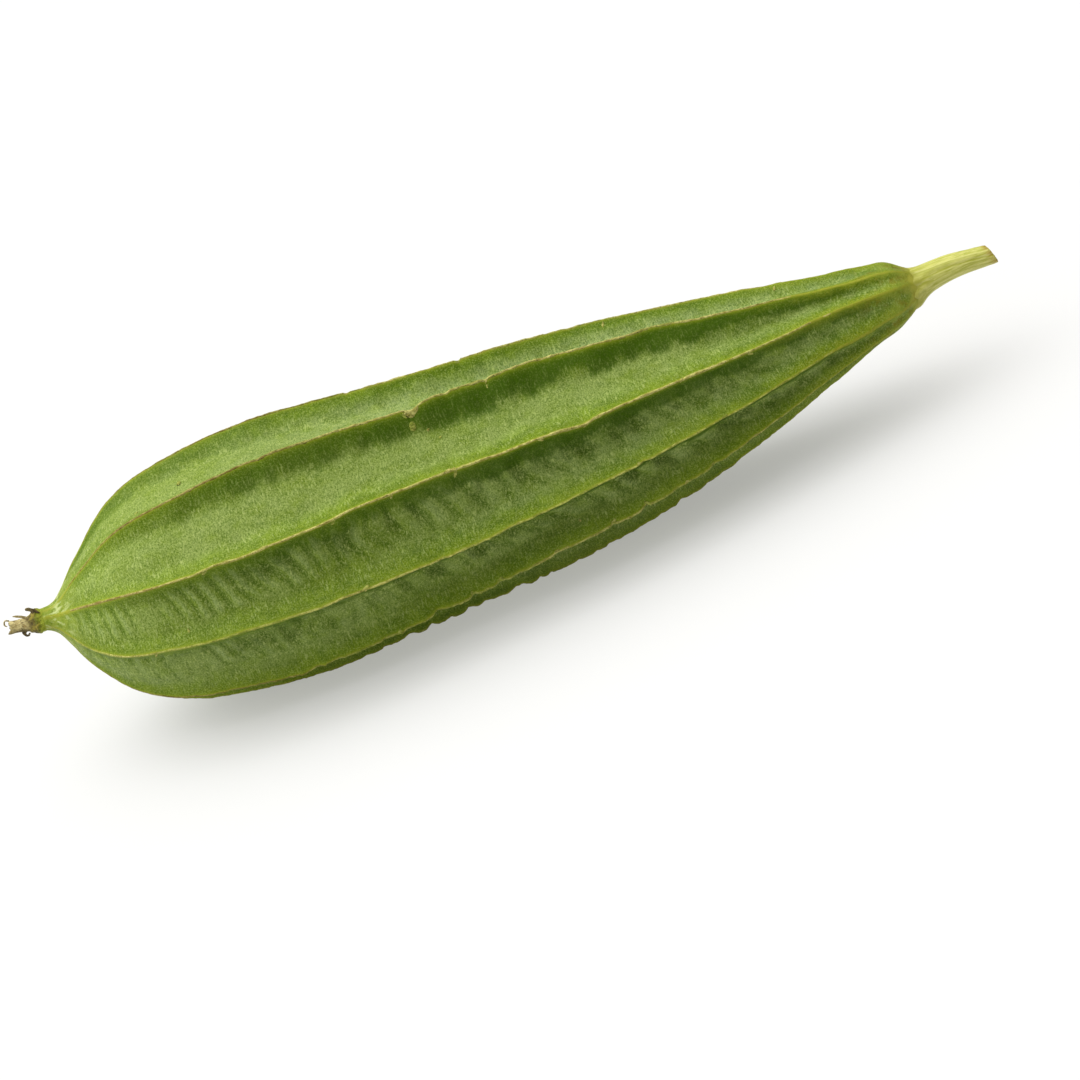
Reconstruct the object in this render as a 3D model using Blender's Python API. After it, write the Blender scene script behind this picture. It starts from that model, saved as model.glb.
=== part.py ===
"""Ridge gourd (Luffa acutangula), picked whole and lying on a table.

A club-shaped fruit with ten lengthwise ridges and a concave groove between each two of them, its cut
stem at the narrow end and the dried remains of the flower at the blunt end. It lies along X on two
of its ridges, the blossom end towards -X and the stem towards +X. Metres, +Z up, the origin on the
table under the middle of the gourd. The dimensions below are in millimetres.
"""

import math

import bmesh
import bpy
import numpy as np
from mathutils import Matrix, Vector

MM = 0.001

# ---------------------------------------------------------------- driving dimensions, in mm
FRUIT_LENGTH = 221.0  # along its curved axis, blossom face to stem face
RIDGES = 10
PITCH = 2 * math.pi / RIDGES
GAP = 0.3  # between two pieces that meet face to face
PRESSED_FLAT = 0.4  # how far the crests that carry the fruit are pressed in
ORIGIN_S = 116.7  # the place along the axis that stands over the origin

# distance along the axis, radius to the crests of the ridges
CREST_RADIUS = [
    (0.0, 2.8), (1.5, 3.15), (3.0, 4.0), (5.0, 6.4), (8.0, 10.9), (12.0, 15.7), (17.0, 20.8),
    (23.0, 24.8), (31.0, 27.9), (41.0, 29.9), (53.0, 31.3), (63.0, 31.6), (75.0, 30.9),
    (91.0, 29.6), (107.0, 28.6), (121.0, 27.8), (135.0, 26.2), (149.0, 24.0), (163.0, 21.1),
    (177.0, 17.9), (189.0, 14.8), (199.0, 12.1), (206.0, 10.4), (211.0, 9.4), (214.5, 8.4),
    (217.5, 6.7), (219.5, 5.3), (221.0, 4.6),
]
# distance along the axis, its slope above the table in degrees: the back is slightly hollow
AXIS_SLOPE = [
    (0.0, -15.5), (6.0, -15.0), (13.0, -12.6), (22.0, -7.8), (33.0, -4.2), (47.0, -3.2), (63.0, -3.7),
    (101.0, -3.6), (119.0, -2.7), (138.0, -1.2), (157.0, 0.5), (176.0, 1.8), (190.0, 2.1),
    (201.0, 1.0), (211.0, -1.0), (221.0, -1.5),
]
# distance along the axis, depth of the grooves as a share of the crest radius
GROOVE_DEPTH = [
    (0.0, 0.02), (4.0, 0.03), (12.0, 0.065), (30.0, 0.115), (60.0, 0.165), (95.0, 0.195),
    (130.0, 0.215), (170.0, 0.215), (200.0, 0.180), (212.0, 0.115), (219.0, 0.04), (221.0, 0.01),
]
# the ridges don't run quite straight: distance along the axis, drift round it in degrees, for
# each ridge that wanders, counted upwards from the one that faces -Y
RIDGE_DRIFT = {
    0: [(0, -22), (9, -16), (15, -10.3), (21, -5.8), (28, -3.4), (45, -2.8), (63, -3), (90, -3.5), (101, -3.1), (113, -1.5), (135, 0.1), (159, 0.1), (172, -0.9), (186, -1.8), (198, -4), (208, -7), (221, -8)],
    1: [(0, -2), (8, -3.1), (20, -4.9), (34, -6.4), (52, -6.6), (68, -5.6), (80, -3.5), (100, -2.2), (135, -2.8), (154, -1.5), (186, -1.6), (200, 0.3), (221, -2)],
    2: [(0, -1), (18, -3), (38, -4.1), (62, -2.1), (84, -0.6), (98, 0.2), (110, 2.8), (132, 5.3), (146, 5), (158, 5.7), (170, 3), (184, 0), (196, -1.8), (208, -4.3), (221, -3)],
    3: [(0, 0), (60, 1), (110, -1.5), (160, 3), (221, 0)],
    4: [(0, 2), (50, -2), (95, 2.5), (150, 1), (190, -2), (221, 0)],
    5: [(0, -2), (40, 2.5), (100, 1), (145, -2.5), (221, 0)],
    6: [(0, 1), (55, -1.5), (120, 0.5), (170, 2.5), (221, 0)],
    9: [(0, -20), (12, -16), (24, -12), (31, -8.5), (40, -6.8), (54, -6.6), (66, -4.3), (84, -2.3), (99, 0.2), (112, 3.4), (123, 6.4), (135, 6.2), (156, 4.7), (174, 4.3), (186, 2.5), (221, 0)],
}
SIDE_BOW = 1.6  # how far the axis bows towards -Y
SIDE_SHIFT = 1.25  # its ends stand this far towards +Y
SHOULDER_LEAN = 10.0  # degrees by which the upper shoulder stands ahead of the lower one

STEM_LENGTH = 20.0
STEM_RADII = [4.3, 3.75, 3.4, 3.2, 3.08, 2.95, 2.82, 2.7, 2.58, 2.5, 2.45]
STEM_RISE = [(0.0, 11.0), (4.0, 5.5), (9.0, -2.5), (14.0, -7.0), (20.0, -8.0)]  # slope, degrees
STEM_DROP = 0.3  # its foot sits a little below the middle of the fruit's face

REMNANT_LENGTH = 8.3
REMNANT_RADII = [2.65, 3.0, 2.85, 2.3, 1.9, 1.75, 1.68, 1.62, 1.6]
REMNANT_RISE = [(0.0, 4.0), (2.0, 7.0), (5.0, 12.0), (8.3, 15.0)]  # slope of its way out, degrees

HALF_CREST = 0.028  # half the flat top of a crest, as a share of the pitch
WALL, EASE = 0.5, 0.4  # a groove's wall ends at this share of its half width, in a corner eased so
COLUMNS = [-HALF_CREST, HALF_CREST, 0.14, 0.31, 0.69, 0.86]  # from a ridge to the next
RINGS = 38


# ---------------------------------------------------------------- the shape, as functions
def smooth(table, at):
    """The table's value at a distance, on a monotone cubic through its points."""
    x, y = np.array(table, float).T
    h, d = np.diff(x), np.diff(y) / np.diff(x)
    m = np.zeros_like(y)
    m[0], m[-1] = d[0], d[-1]
    for i in range(1, len(x) - 1):
        if d[i - 1] * d[i] > 0:
            w1, w2 = 2 * h[i] + h[i - 1], h[i] + 2 * h[i - 1]
            m[i] = (w1 + w2) / (w1 / d[i - 1] + w2 / d[i])
    at = np.clip(at, x[0], x[-1])
    i = np.clip(np.searchsorted(x, at, side="right") - 1, 0, len(h) - 1)
    t = (at - x[i]) / h[i]
    return (
        y[i] * (1 + 2 * t) * (1 - t) ** 2 + m[i] * h[i] * t * (1 - t) ** 2
        + y[i + 1] * t * t * (3 - 2 * t) + m[i + 1] * h[i] * t * t * (t - 1)
    )


def walk(start, slopes, length, steps, heading=1.0):
    """Points of a line in the XZ plane that leaves start and follows a table of slopes."""
    s = np.linspace(0, length, steps)
    a = np.radians(smooth(slopes, s))
    mid = (a[1:] + a[:-1]) / 2
    x = start[0] + heading * np.r_[0, np.cumsum(np.cos(mid) * np.diff(s))]
    z = start[2] + np.r_[0, np.cumsum(np.sin(mid) * np.diff(s))]
    return s, np.c_[x, np.full(steps, start[1]), z], a


AXIS_S, AXIS_P, AXIS_A = walk((0.0, 0.0, 0.0), AXIS_SLOPE, FRUIT_LENGTH, 1101)
AXIS_P[:, 1] += SIDE_SHIFT - SIDE_BOW * np.sin(math.pi * AXIS_S / FRUIT_LENGTH)
AXIS_P[:, 0] -= np.interp(ORIGIN_S, AXIS_S, AXIS_P[:, 0])
# the two carrying ridges stand at 18 degrees either side of straight down
LOWEST = (AXIS_P[:, 2] - smooth(CREST_RADIUS, AXIS_S) * math.cos(PITCH / 2)).min()
AXIS_P[:, 2] -= LOWEST + PRESSED_FLAT


def ring_frame(s):
    """Centre, unit vector outwards-up and unit vector along the axis, at a distance s."""
    centre = Vector([np.interp(s, AXIS_S, AXIS_P[:, k]) for k in range(3)])
    slope = float(np.interp(s, AXIS_S, AXIS_A))
    lean = math.radians(SHOULDER_LEAN) * math.exp(-(((s - 212.0) / 7.0) ** 2))
    along = Vector((math.cos(slope), 0, math.sin(slope)))
    up = Vector((-math.sin(slope - lean), 0, math.cos(slope - lean)))
    return centre, up, along


def drift(ridge, s):
    """How far a ridge has wandered round the fruit at a distance s, in radians."""
    table = RIDGE_DRIFT.get(ridge % RIDGES)
    return math.radians(float(smooth(table, s))) if table else 0.0


def direction(ridge, part, s):
    """Angle of a place between a ridge and the next, 0 on the first and 1 on the other."""
    share = min(max(part, 0.0), 1.0)
    wander = (1 - share) * drift(ridge, s) + share * drift(ridge + 1, s)
    return (ridge + part) * PITCH + wander


def hollow(part, s):
    """Radius at such a place as a share of the crest radius: steep walls, a broad round floor."""
    t = max(0.0, (0.5 - abs(abs(part) - 0.5) - HALF_CREST) / (0.5 - HALF_CREST)) if part > 0 else 0.0
    above = [0.5 * (1 - q / WALL + math.hypot(1 - q / WALL, EASE)) for q in (t, 0.0, 1.0)]
    return 1 - float(smooth(GROOVE_DEPTH, s)) * (1 - (above[0] - above[2]) / (above[1] - above[2]))


# ---------------------------------------------------------------- scene
for old in list(bpy.data.objects):
    bpy.data.objects.remove(old)


def collection(name):
    made = bpy.data.collections.new(name)
    bpy.context.scene.collection.children.link(made)
    return made


GOURD, CUTTERS = collection("ridge_gourd"), collection("cutters")


def material(name, colour, roughness):
    made = bpy.data.materials.new(name)
    made.use_nodes = True
    bsdf = made.node_tree.nodes["Principled BSDF"]
    bsdf.inputs["Base Color"].default_value = (*colour, 1)
    bsdf.inputs["Roughness"].default_value = roughness
    bsdf.inputs["Metallic"].default_value = 0.0
    return made


def fruit():
    """A sphere of 60 meridians, drawn out along the curved axis and pinched into ten ridges."""
    columns = RIDGES * len(COLUMNS)
    bm = bmesh.new()
    bmesh.ops.create_uvsphere(bm, u_segments=columns, v_segments=RINGS + 1, radius=1.0)
    bm.verts.ensure_lookup_table()
    for v in bm.verts:
        polar = math.acos(max(-1.0, min(1.0, -v.co.z)))  # 0 at the blossom pole
        ring = round(polar / math.pi * (RINGS + 1))
        at_pole = ring in (0, RINGS + 1)
        t = (min(max(ring, 1), RINGS) - 1) / (RINGS - 1)
        t = 0.28 * t + 0.72 * (1 - math.cos(math.pi * t)) / 2  # rings crowd at both ends
        s = t * FRUIT_LENGTH
        centre, up, _ = ring_frame(s)
        if at_pole:
            v.co = centre
            continue
        column = round(math.atan2(v.co.y, v.co.x) / (2 * math.pi) * columns) % columns
        ridge, number = divmod(column, len(COLUMNS))
        angle = direction(ridge, COLUMNS[number], s)
        radius = float(smooth(CREST_RADIUS, s)) * hollow(COLUMNS[number], s)
        # angle 0 is a crest on the -Y side, and angles grow upwards from there
        v.co = centre + radius * (math.cos(angle) * Vector((0, -1, 0)) + math.sin(angle) * up)
    bmesh.ops.recalc_face_normals(bm, faces=bm.faces)
    bmesh.ops.transform(bm, matrix=Matrix.Scale(MM, 4), verts=bm.verts)
    mesh = bpy.data.meshes.new("fruit")
    bm.to_mesh(mesh)
    bm.free()
    mesh.shade_smooth()
    mesh.set_sharp_from_angle(angle=math.radians(40))
    made = bpy.data.objects.new("fruit", mesh)
    GOURD.objects.link(made)
    made.data.materials.append(material("skin", (0.19, 0.27, 0.03), 0.55))
    return made


def table_cutter():
    """The table's place: what reaches into it is pressed flat."""
    bm = bmesh.new()
    bmesh.ops.create_cube(bm, size=1.0)
    bmesh.ops.transform(
        bm,
        matrix=Matrix.Translation((0, 0, -0.010)) @ Matrix.Diagonal((0.30, 0.12, 0.020, 1)),
        verts=bm.verts,
    )
    mesh = bpy.data.meshes.new("table_cutter")
    bm.to_mesh(mesh)
    bm.free()
    made = bpy.data.objects.new("table_cutter", mesh)
    CUTTERS.objects.link(made)
    made.hide_render = True
    made.display_type = "WIRE"
    return made


def tapered(name, points, radii, sides, mat):
    """A tube along points with a radius at each, closed at both ends."""
    data = bpy.data.curves.new(name, "CURVE")
    data.dimensions = "3D"
    data.bevel_depth = MM
    data.bevel_resolution = sides // 2 - 2
    data.use_fill_caps = True
    data.twist_mode = "MINIMUM"
    line = data.splines.new("POLY")
    line.points.add(len(points) - 1)
    for point, place, radius in zip(line.points, points, radii):
        point.co = (*[c * MM for c in place], 1)
        point.radius = radius
    line.use_smooth = True
    made = bpy.data.objects.new(name, data)
    GOURD.objects.link(made)
    data.materials.append(mat)
    return made


def stem():
    """The cut pedicel: it flares into the fruit's face, rises from it and levels out."""
    centre, _, along = ring_frame(FRUIT_LENGTH)
    start = centre + along * GAP - Vector((0, 0, STEM_DROP))
    n = len(STEM_RADII)
    _, places, _ = walk(start, STEM_RISE, STEM_LENGTH, n * 4 - 3)
    # the first stretch leaves square to the fruit's face
    places = [Vector(p) for p in places[::4]]
    places.insert(1, start + along * 0.6)
    return tapered(
        "stem", places, [STEM_RADII[0], STEM_RADII[0] - 0.1, *STEM_RADII[1:]], 16,
        material("stem", (0.50, 0.49, 0.12), 0.55),
    )


def remnant():
    """The dried flower base and style at the blossom face."""
    centre, _, along = ring_frame(0.0)
    start = centre - along * GAP
    n = len(REMNANT_RADII)
    _, places, _ = walk(start, REMNANT_RISE, REMNANT_LENGTH, n * 4 - 3, heading=-1.0)
    places = [Vector(p) for p in places[::4]]
    places.insert(1, start - along * 0.5)
    return tapered(
        "dried_flower", places, [REMNANT_RADII[0], REMNANT_RADII[0] + 0.15, *REMNANT_RADII[1:]], 12,
        material("dried_flower", (0.20, 0.15, 0.05), 0.85),
    )


body = fruit()
press = body.modifiers.new("pressed_flat", "BOOLEAN")
press.operation = "DIFFERENCE"
press.object = table_cutter()
stem()
remnant()
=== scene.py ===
"""Looks of the ridge gourd: the finely modelled rind, corky ridge lines, stem and dried flower."""

import math

import bmesh
import bpy
import numpy as np
from mathutils import Matrix, Vector


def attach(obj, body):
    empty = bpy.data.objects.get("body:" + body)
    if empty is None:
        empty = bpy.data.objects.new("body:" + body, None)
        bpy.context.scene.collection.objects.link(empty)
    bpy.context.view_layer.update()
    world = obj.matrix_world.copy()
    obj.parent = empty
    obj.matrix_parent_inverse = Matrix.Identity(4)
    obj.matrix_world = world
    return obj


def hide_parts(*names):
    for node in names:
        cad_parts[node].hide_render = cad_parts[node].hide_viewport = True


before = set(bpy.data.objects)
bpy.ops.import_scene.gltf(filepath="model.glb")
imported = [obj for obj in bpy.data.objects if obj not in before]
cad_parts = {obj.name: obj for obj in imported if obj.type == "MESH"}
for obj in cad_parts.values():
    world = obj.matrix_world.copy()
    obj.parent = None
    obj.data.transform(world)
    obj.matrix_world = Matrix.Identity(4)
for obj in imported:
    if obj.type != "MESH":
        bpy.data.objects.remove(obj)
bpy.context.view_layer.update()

MM = 0.001
PITCH = 2 * math.pi / 10
LENGTH = 221.0  # mm, along the fruit's axis

# ---------------------------------------------------------------- the fruit's form, as the CAD has it
CREST_RADIUS = [
    (0.0, 2.8), (1.5, 3.15), (3.0, 4.0), (5.0, 6.4), (8.0, 10.9), (12.0, 15.7), (17.0, 20.8),
    (23.0, 24.8), (31.0, 27.9), (41.0, 29.9), (53.0, 31.3), (63.0, 31.6), (75.0, 30.9),
    (91.0, 29.6), (107.0, 28.6), (121.0, 27.8), (135.0, 26.2), (149.0, 24.0), (163.0, 21.1),
    (177.0, 17.9), (189.0, 14.8), (199.0, 12.1), (206.0, 10.4), (211.0, 9.4), (214.5, 8.4),
    (217.5, 6.7), (219.5, 5.3), (221.0, 4.6),
]
AXIS_SLOPE = [
    (0.0, -15.5), (6.0, -15.0), (13.0, -12.6), (22.0, -7.8), (33.0, -4.2), (47.0, -3.2), (63.0, -3.7),
    (101.0, -3.6), (119.0, -2.7), (138.0, -1.2), (157.0, 0.5), (176.0, 1.8), (190.0, 2.1),
    (201.0, 1.0), (211.0, -1.0), (221.0, -1.5),
]
GROOVE_DEPTH = [
    (0.0, 0.02), (4.0, 0.03), (12.0, 0.065), (30.0, 0.115), (60.0, 0.165), (95.0, 0.195),
    (130.0, 0.215), (170.0, 0.215), (200.0, 0.180), (212.0, 0.115), (219.0, 0.04), (221.0, 0.01),
]
# how far a groove's wall reaches from its ridge, as a share of the groove's half width
WALL = [(0, 0.30), (35, 0.37), (75, 0.40), (105, 0.45), (135, 0.52), (165, 0.60), (190, 0.66), (221, 0.70)]
RIDGE_DRIFT = {
    0: [(0, -22), (9, -16), (15, -10.3), (21, -5.8), (28, -3.4), (45, -2.8), (63, -3), (90, -3.5), (101, -3.1), (113, -1.5), (135, 0.1), (159, 0.1), (172, -0.9), (186, -1.8), (198, -4), (208, -7), (221, -8)],
    1: [(0, -2), (8, -3.1), (20, -4.9), (34, -6.4), (52, -6.6), (68, -5.6), (80, -3.5), (100, -2.2), (135, -2.8), (154, -1.5), (186, -1.6), (200, 0.3), (221, -2)],
    2: [(0, -1), (18, -3), (38, -4.1), (62, -2.1), (84, -0.6), (98, 0.2), (110, 2.8), (132, 5.3), (146, 5), (158, 5.7), (170, 3), (184, 0), (196, -1.8), (208, -4.3), (221, -3)],
    3: [(0, 0), (60, 1), (110, -1.5), (160, 3), (221, 0)],
    4: [(0, 2), (50, -2), (95, 2.5), (150, 1), (190, -2), (221, 0)],
    5: [(0, -2), (40, 2.5), (100, 1), (145, -2.5), (221, 0)],
    6: [(0, 1), (55, -1.5), (120, 0.5), (170, 2.5), (221, 0)],
    9: [(0, -20), (12, -16), (24, -12), (31, -8.5), (40, -6.8), (54, -6.6), (66, -4.3), (84, -2.3), (99, 0.2), (112, 3.4), (123, 6.4), (135, 6.2), (156, 4.7), (174, 4.3), (186, 2.5), (221, 0)],
}
SIDE_BOW, SIDE_SHIFT = 1.6, 1.25
SHOULDER_LEAN = 10.0
PRESSED_FLAT = 0.4
ORIGIN_S = 116.7


def smooth(points, at):
    """A monotone cubic through a table of points."""
    x, y = np.array(points, float).T
    h, d = np.diff(x), np.diff(y) / np.diff(x)
    m = np.zeros_like(y)
    m[0], m[-1] = d[0], d[-1]
    for i in range(1, len(x) - 1):
        if d[i - 1] * d[i] > 0:
            w1, w2 = 2 * h[i] + h[i - 1], h[i] + 2 * h[i - 1]
            m[i] = (w1 + w2) / (w1 / d[i - 1] + w2 / d[i])
    at = np.clip(at, x[0], x[-1])
    i = np.clip(np.searchsorted(x, at, side="right") - 1, 0, len(h) - 1)
    t = (at - x[i]) / h[i]
    return (
        y[i] * (1 + 2 * t) * (1 - t) ** 2 + m[i] * h[i] * t * (1 - t) ** 2
        + y[i + 1] * t * t * (3 - 2 * t) + m[i + 1] * h[i] * t * t * (t - 1)
    )


def ease(low, high, x):
    t = np.clip((np.asarray(x, float) - low) / (high - low), 0, 1)
    return t * t * (3 - 2 * t)


def lattice(x, y, z, seed):
    """A fixed pseudo-random number from -1 to 1 for each whole-number place."""
    h = (
        x.astype(np.uint64) * np.uint64(374761393) + y.astype(np.uint64) * np.uint64(668265263)
        + z.astype(np.uint64) * np.uint64(2147483647) + np.uint64(seed * 1274126177 % 2**32)
    ) & np.uint64(0xFFFFFFFF)
    h = ((h ^ (h >> np.uint64(13))) * np.uint64(1274126177)) & np.uint64(0xFFFFFFFF)
    h = ((h ^ (h >> np.uint64(16))) * np.uint64(2246822519)) & np.uint64(0xFFFFFFFF)
    h = h ^ (h >> np.uint64(15))
    return h.astype(float) / 4294967295.0 * 2 - 1


def noise(x, y=0.0, z=0.0, seed=0):
    """Smooth value noise, about -1 to 1, with a wavelength of about 2."""
    x, y, z = np.broadcast_arrays(np.asarray(x, float), np.asarray(y, float), np.asarray(z, float))
    x, y, z = x + 1000.37, y + 1000.71, z + 1000.13
    ix, iy, iz = np.floor(x), np.floor(y), np.floor(z)
    fx, fy, fz = x - ix, y - iy, z - iz
    fx, fy, fz = (f * f * f * (f * (f * 6 - 15) + 10) for f in (fx, fy, fz))
    total = 0.0
    for a in (0, 1):
        for b in (0, 1):
            for c in (0, 1):
                weight = (fx if a else 1 - fx) * (fy if b else 1 - fy) * (fz if c else 1 - fz)
                total = total + weight * lattice(ix + a, iy + b, iz + c, seed)
    return total


def fractal(x, y=0.0, z=0.0, seed=0, octaves=3):
    total, size = 0.0, 1.0
    for i in range(octaves):
        f = 2.03**i
        total = total + noise(np.asarray(x) * f, np.asarray(y) * f, np.asarray(z) * f, seed + 17 * i) * size
        size *= 0.5
    return total / 1.75


AXIS_S = np.linspace(0, LENGTH, 1101)
_slope = np.radians(smooth(AXIS_SLOPE, AXIS_S))
_mid = (_slope[1:] + _slope[:-1]) / 2
AXIS_P = np.c_[
    np.r_[0, np.cumsum(np.cos(_mid) * np.diff(AXIS_S))],
    SIDE_SHIFT - SIDE_BOW * np.sin(math.pi * AXIS_S / LENGTH),
    np.r_[0, np.cumsum(np.sin(_mid) * np.diff(AXIS_S))],
]
AXIS_P[:, 0] -= np.interp(ORIGIN_S, AXIS_S, AXIS_P[:, 0])
AXIS_P[:, 2] -= (AXIS_P[:, 2] - smooth(CREST_RADIUS, AXIS_S) * math.cos(PITCH / 2)).min() + PRESSED_FLAT


def frames(s):
    """Centres, upward vectors and axis vectors at distances s, as arrays of 3-vectors."""
    s = np.asarray(s, float)
    centre = np.stack([np.interp(s, AXIS_S, AXIS_P[:, k]) for k in range(3)], -1)
    slope = np.interp(s, AXIS_S, _slope)
    lean = math.radians(SHOULDER_LEAN) * np.exp(-(((s - 212.0) / 7.0) ** 2))
    zero = np.zeros_like(s)
    along = np.stack([np.cos(slope), zero, np.sin(slope)], -1)
    up = np.stack([-np.sin(slope - lean), zero, np.cos(slope - lean)], -1)
    return centre, up, along


# the small kinks of the four ridges that show most, as departures from the courses above: every
# 6 mm from the distance given first, in degrees
KINKS = {
    2: (26, [0.2, -0.3, 0.0, 0.0, 0.1, 0.1, 0.0, 0.2, -0.1, 0.3, 0.1, -0.3, -0.5, 0.8, 0.4, -0.3, -0.1, 0.3, 0.1, -0.1, -0.2, -0.6, 0.6, 0.6, -0.3, 0.1, -0.4, 0.7, 0.2, -0.7, -0.2]),
    1: (20, [0.0, -0.1, 0.0, -0.4, 0.4, -0.3, 0.0, 0.0, -0.1, 0.1, 0.2, 0.0, -0.2, 0.0, 0.1, 0.0, -0.1, 0.3, 0.2, -0.8, 0.2, 0.2, 0.0, 0.1, 0.1, -0.1, -0.2, -0.2, 0.1, 0.4, 0.2]),
    0: (21, [0.2, 0.4, 0.1, -0.3, 0.3, 0.1, 0.0, -0.2, 0.2, -0.1, -0.1, 0.0, -0.2, -0.1, -0.1, 0.2, -0.2, -0.1, 0.1, 0.2, 0.1, 0.2, 0.4, 0.1, 0.1, -0.3, 0.0, 0.1, 0.1, 0.5, -0.2]),
    9: (24, [0.0, 0.3, 0.9, 0.3, -0.4, -0.9, 1.1, 0.4, -0.2, -0.7, -0.5, 0.4, -0.2, -0.1, -0.2, 0.4, 0.7, 0.4, 0.3, -0.7, -0.3, 0.8, 0.0, -0.6, -0.1, 0.3, 0.0, -0.5]),
}


def drift(ridge, s):
    """A ridge's wander round the fruit in radians: the CAD's, with its finer kinks added."""
    ridge %= 10
    base = smooth(RIDGE_DRIFT[ridge], s) if ridge in RIDGE_DRIFT else 0.0 * s
    fine = noise(s / 8.0, ridge * 7.7, seed=5) * 0.35
    if ridge in KINKS:
        first, kinks = KINKS[ridge]
        at = first + 6.0 * np.arange(-1, len(kinks) + 1)
        fine = np.interp(s, at, [0.0, *kinks, 0.0])
    fine = fine + noise(s / 3.1, ridge * 3.3, seed=6) * 0.12 + noise(s / 1.3, ridge * 2.3, seed=7) * 0.05
    fine = fine * smooth([(0, 0.2), (30, 1.0), (150, 1.3), (205, 0.9), (221, 0)], s)
    return np.radians(base + fine)


# how ragged each crest is, in mm: the low front ones are the most worn
RAGGED = {0: 0.30, 1: 0.30, 2: 0.30, 3: 0.20, 4: 0.35, 5: 0.30, 6: 0.45, 7: 0.7, 8: 0.45, 9: 0.8}
# notches in the crests: ridge, distance along, depth, half-width, all in mm
NOTCHES = [
    (3, 85.5, 0.25, 0.9), (3, 113.0, 0.45, 0.8), (3, 141.0, 0.2, 1.0), (2, 98.5, 0.8, 1.6),
    (2, 107.0, 0.5, 0.9), (2, 117.2, 0.6, 0.9), (2, 61.0, 0.3, 0.8), (1, 102.5, 0.6, 1.1), (1, 72.8, 0.5, 0.9),
    (1, 87.2, 0.4, 0.8), (1, 135.0, 0.35, 0.9), (1, 160.0, 0.35, 0.9), (0, 74.5, 0.45, 0.9),
    (0, 93.5, 0.5, 1.0), (0, 144.5, 0.7, 1.1), (0, 118.0, 0.3, 0.8), (0, 166.0, 0.35, 1.0),
    (9, 88.0, 0.9, 1.3), (9, 97.5, 0.8, 1.1), (9, 104.0, 0.7, 1.0), (9, 118.5, 0.5, 1.2),
    (9, 141.5, 0.9, 1.3), (9, 159.5, 0.6, 1.1), (9, 133.0, 0.5, 1.0), (8, 96.0, 0.5, 1.0), (8, 109.0, 0.5, 0.9), (8, 150.0, 0.5, 0.9), (8, 131.0, 0.4, 0.8), (4, 70.0, 0.6, 1.1), (4, 128.0, 0.7, 1.2),
    (5, 92.0, 0.6, 1.0), (5, 150.0, 0.5, 1.0), (6, 58.0, 0.6, 1.1), (6, 112.0, 0.7, 1.3), (7, 133.0, 0.8, 1.4),
]


def wear(ridge, s):
    """How far a crest has worn down at s, in mm."""
    ridge %= 10
    rough = np.abs(noise(s / 2.9, ridge * 11.0, seed=21)) + 0.45 * np.abs(noise(s / 1.15, ridge * 5.0, seed=22))
    slow = 0.5 + 0.5 * noise(s / 14.0, ridge * 2.0, seed=23)
    cut = RAGGED[ridge] * rough * (0.35 + 0.65 * slow)
    if ridge == 8:  # scalloped along its middle
        bite = (1 - np.abs(np.sin(math.pi * (s / 5.6 + 0.45 * noise(s / 6.0, seed=24))))) ** 1.2
        cut = cut + 1.15 * bite * (0.35 + 0.65 * np.abs(noise(s / 6.0, seed=25))) * smooth([(0, 0), (62, 0), (78, 0.8), (90, 1), (118, 0.9), (136, 0.35), (175, 0.3), (200, 0)], s)
    cut = cut * smooth([(0, 0.1), (25, 0.4), (60, 1.0), (150, 0.8), (190, 0.4), (215, 0.1), (221, 0)], s)
    for other, at, depth, half in NOTCHES:
        if other == ridge:
            cut = cut + depth * np.exp(-(((s - at) / half) ** 2))
    return cut


# how strongly each panel, from a ridge to the next one up, is puckered and lumpy
PUCKER = {0: 1.0, 9: 1.15, 1: 0.14, 2: 0.10, 3: 0.2, 4: 0.5, 5: 0.9, 6: 0.6, 7: 0.5, 8: 0.8}
LUMPS = {0: 0.75, 9: 1.3, 1: 0.35, 2: 0.55, 3: 0.4, 4: 0.6, 5: 0.9, 6: 0.8, 7: 1.0, 8: 1.2}
DENTS = {0: 0.85, 9: 1.4, 1: 0.15, 2: 0.2, 3: 0.2, 4: 0.4, 5: 0.7, 6: 0.6, 7: 0.6, 8: 0.8}


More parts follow.
